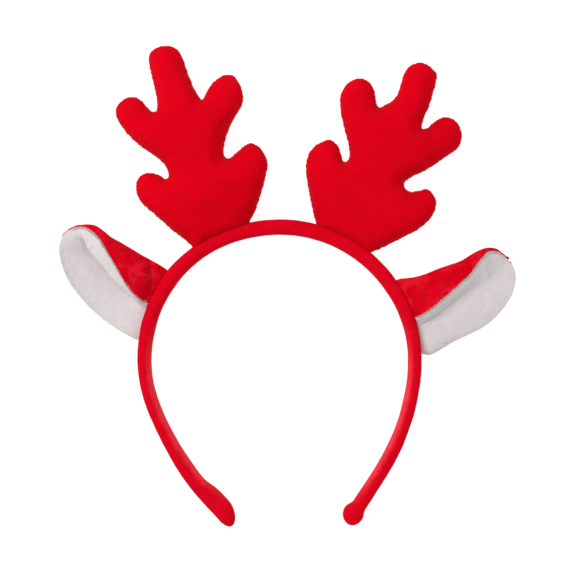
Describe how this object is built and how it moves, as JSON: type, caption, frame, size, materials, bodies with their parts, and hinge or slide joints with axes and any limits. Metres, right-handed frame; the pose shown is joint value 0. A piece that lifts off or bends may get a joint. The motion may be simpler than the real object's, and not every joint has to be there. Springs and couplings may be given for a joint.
{
  "type": "reindeer antler headband",
  "caption": "Open padded hoop worn over the head, with two stuffed branching antlers and two folded, lined ears sewn to its outer face",
  "frame": {"origin": "on the hoop's flat back, in the middle of the crown, halfway through the hoop's thickness", "axes": "+Y runs from the hoop's open end past the crown to the antler tips, +X is to the right as the front is seen, +Z is the front; the part lies on its back on the plane Z = 0"},
  "size_m": [0.2233, 0.2341, 0.0218],
  "materials": {
    "red_velour_band": "matte short-pile velour with a soft sheen",
    "red_velour_antler": "matte short-pile velour over stuffing",
    "red_velour_ear": "matte short-pile velour, creased at its foot",
    "white_plush": "matte white plush"
  },
  "bodies": {
    "root": {"headband": "red_velour_band", "left_antler": "red_velour_antler", "right_antler": "red_velour_antler", "left_ear_shell": "red_velour_ear", "right_ear_shell": "red_velour_ear", "left_ear_lining": "white_plush", "right_ear_lining": "white_plush"}
  },
  "joints": []
}
